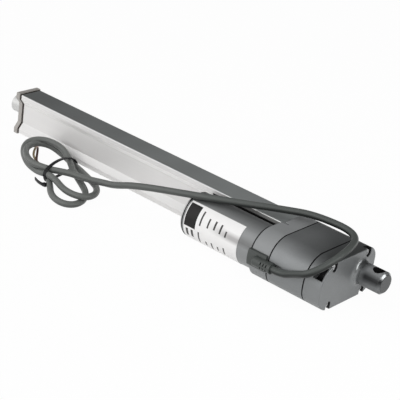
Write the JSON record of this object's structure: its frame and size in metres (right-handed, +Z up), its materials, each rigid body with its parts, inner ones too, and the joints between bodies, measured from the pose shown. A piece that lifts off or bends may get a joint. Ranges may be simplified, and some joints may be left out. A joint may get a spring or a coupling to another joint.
{
  "type": "electric linear actuator",
  "caption": "Electric linear actuator: motor beside a square-edged aluminium tube, cast gearbox with rear pivot lug, sliding rod with pivot eye, tied supply cord.",
  "frame": {"origin": "centre of the cross hole in the rear lug", "axes": "+X along the rod towards its free end, +Y from the tube towards the motor, +Z up along the rear pivot hole"},
  "size_m": [0.4582, 0.1063, 0.0582],
  "materials": {
    "casting": "satin dark grey paint on die casting",
    "motor_paint": "satin grey paint",
    "profile": "fine brushed and anodised",
    "cap": "light warm grey paint",
    "gasket": "matt",
    "brown_gasket": "matt",
    "screw_steel": "blackened",
    "bright_steel": "ground",
    "rod_chrome": "polished",
    "end_metal": "turned",
    "bush_plastic": "moulded",
    "nut_plastic": "machined",
    "gear_plastic": "moulded",
    "bronze": "sintered",
    "copper": "enamelled wire",
    "magnet": "ground ferrite",
    "lamination": "stacked sheet",
    "board": "laminate",
    "switch_plastic": "moulded",
    "carbon": "pressed carbon",
    "label": "white film",
    "relief": "moulded",
    "sheath": "grey-green PVC",
    "tie": "moulded",
    "core_brown": "insulated strand",
    "core_beige": "insulated strand"
  },
  "bodies": {
    "housing": {"rear_cover": "casting", "gear_case": "casting", "front_housing": "casting", "cover_gasket": "gasket", "case_gasket": "gasket", "cover_screws": "screw_steel", "outer_profile": "profile", "front_cap": "cap", "front_gasket": "brown_gasket", "cap_screws": "bright_steel", "rod_bush": "bush_plastic", "wiper_seal": "gasket", "bearing_outer_race": "bright_steel", "bearing_balls": "rod_chrome", "idler_pin": "bright_steel", "motor_can": "motor_paint", "motor_front_plate": "bright_steel", "motor_seal_ring": "gasket", "motor_end_cap": "end_metal", "motor_bushes": "bronze", "motor_magnets": "magnet", "brush_plate": "bush_plastic", "motor_brushes": "carbon", "rating_label": "label", "switch_strip": "board", "limit_switches": "switch_plastic", "strain_relief": "relief", "cable": "sheath", "cable_hank": "sheath", "cable_tie": "tie", "core_wire_a": "core_brown", "core_wire_b": "core_beige"},
    "rotor": {"rotor_shaft": "bright_steel", "rotor_core": "lamination", "rotor_winding": "copper", "commutator": "copper", "drive_pinion": "bronze"},
    "idler": {"idler_gear": "gear_plastic"},
    "screw": {"lead_screw": "bright_steel", "screw_clip": "bright_steel", "screw_gear": "gear_plastic", "bearing_inner_race": "bright_steel"},
    "rod": {"piston_rod": "rod_chrome", "drive_nut": "nut_plastic", "rod_end": "end_metal"}
  },
  "joints": [
    {"name": "rotor_spin", "type": "hinge", "parent": "housing", "child": "rotor", "pos_m": [0.1, 0.0326, -0.0023], "axis": [-1, 0, 0], "range_deg": [0, 378000]},
    {"name": "idler_spin", "type": "hinge", "parent": "housing", "child": "idler", "pos_m": [0.05, 0.01615, -0.00114], "axis": [-1, 0, 0], "range_deg": [-95445, 0]},
    {"name": "screw_spin", "type": "hinge", "parent": "housing", "child": "screw", "pos_m": [0.05, 0, 0], "axis": [-1, 0, 0], "range_deg": [0, 27270]},
    {"name": "rod_extend", "type": "slide", "parent": "housing", "child": "rod", "axis": [1, 0, 0], "range_m": [0, 0.301]}
  ],
  "couplings": [
    {"joint": "idler_spin", "follows": "rotor_spin", "ratio": -0.25},
    {"joint": "screw_spin", "follows": "rotor_spin", "ratio": 0.071429},
    {"joint": "rod_extend", "follows": "rotor_spin", "m_per_rad": 0.000045473}
  ]
}
